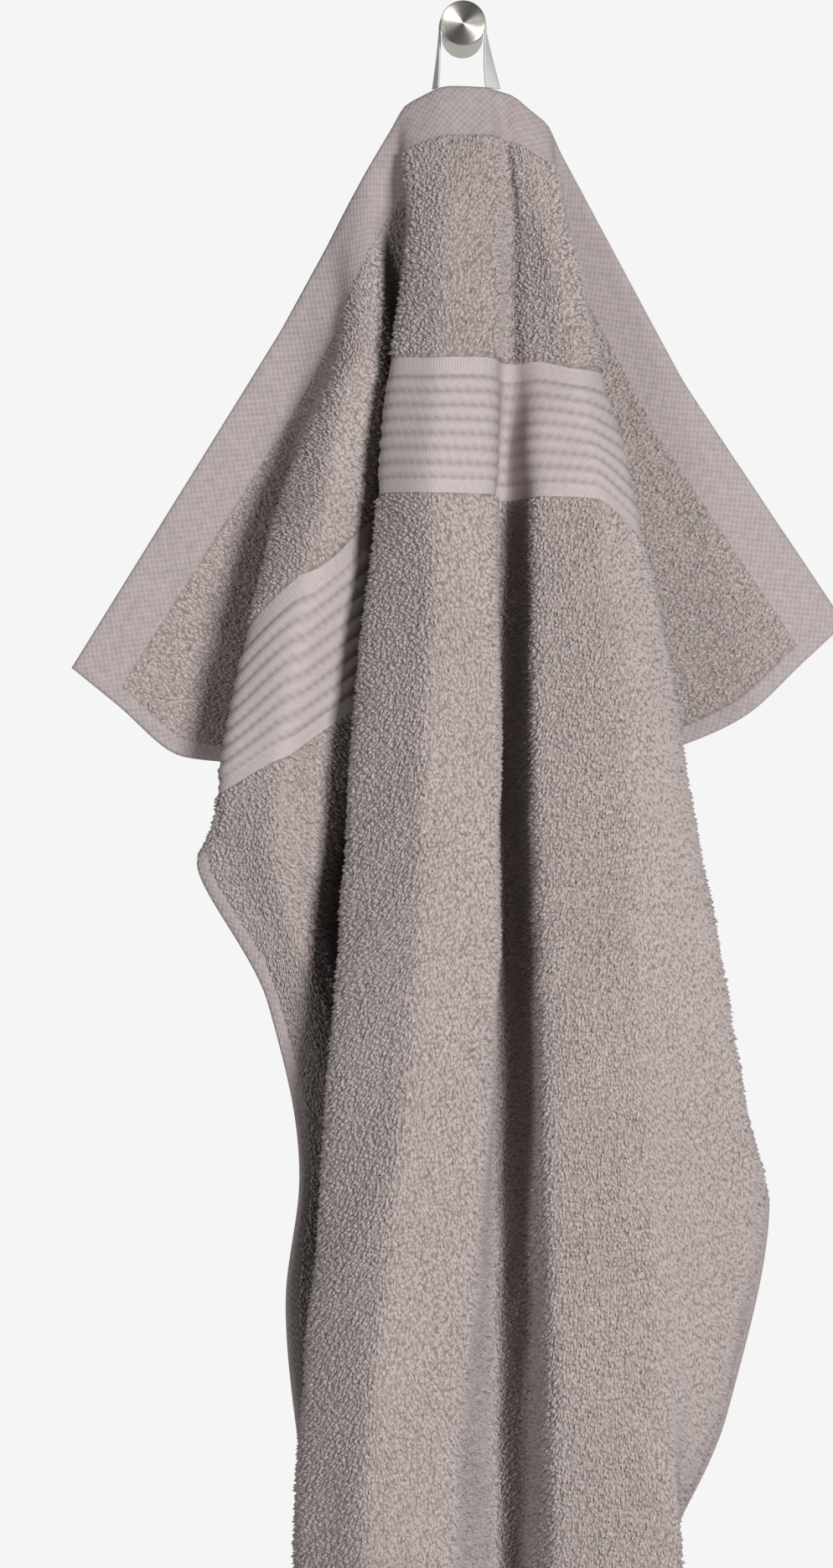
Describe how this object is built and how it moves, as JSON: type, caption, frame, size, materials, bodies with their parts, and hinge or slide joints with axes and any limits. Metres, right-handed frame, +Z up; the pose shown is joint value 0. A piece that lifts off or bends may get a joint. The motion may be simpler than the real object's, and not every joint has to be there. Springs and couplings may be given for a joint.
{
  "type": "hand towel on a wall hook",
  "caption": "Terry hand towel with a ribbed border band, hung by its sewn tape loop from a round steel knob on the wall, draped in deep uneven folds.",
  "frame": {"origin": "centre of the knob's back face, on the wall plane", "axes": "+Y into the wall, +Z up, +X to the right as seen from the room"},
  "size_m": [0.279, 0.0829, 0.8207],
  "materials": {
    "terry_cotton": "looped cotton pile with flat-woven hems and band",
    "cotton_tape": "plain woven tape",
    "brushed_steel": "turned face with circular brushing"
  },
  "bodies": {
    "root": {"towel": "terry_cotton", "hanging_loop": "cotton_tape", "wall_knob": "brushed_steel"}
  },
  "joints": []
}
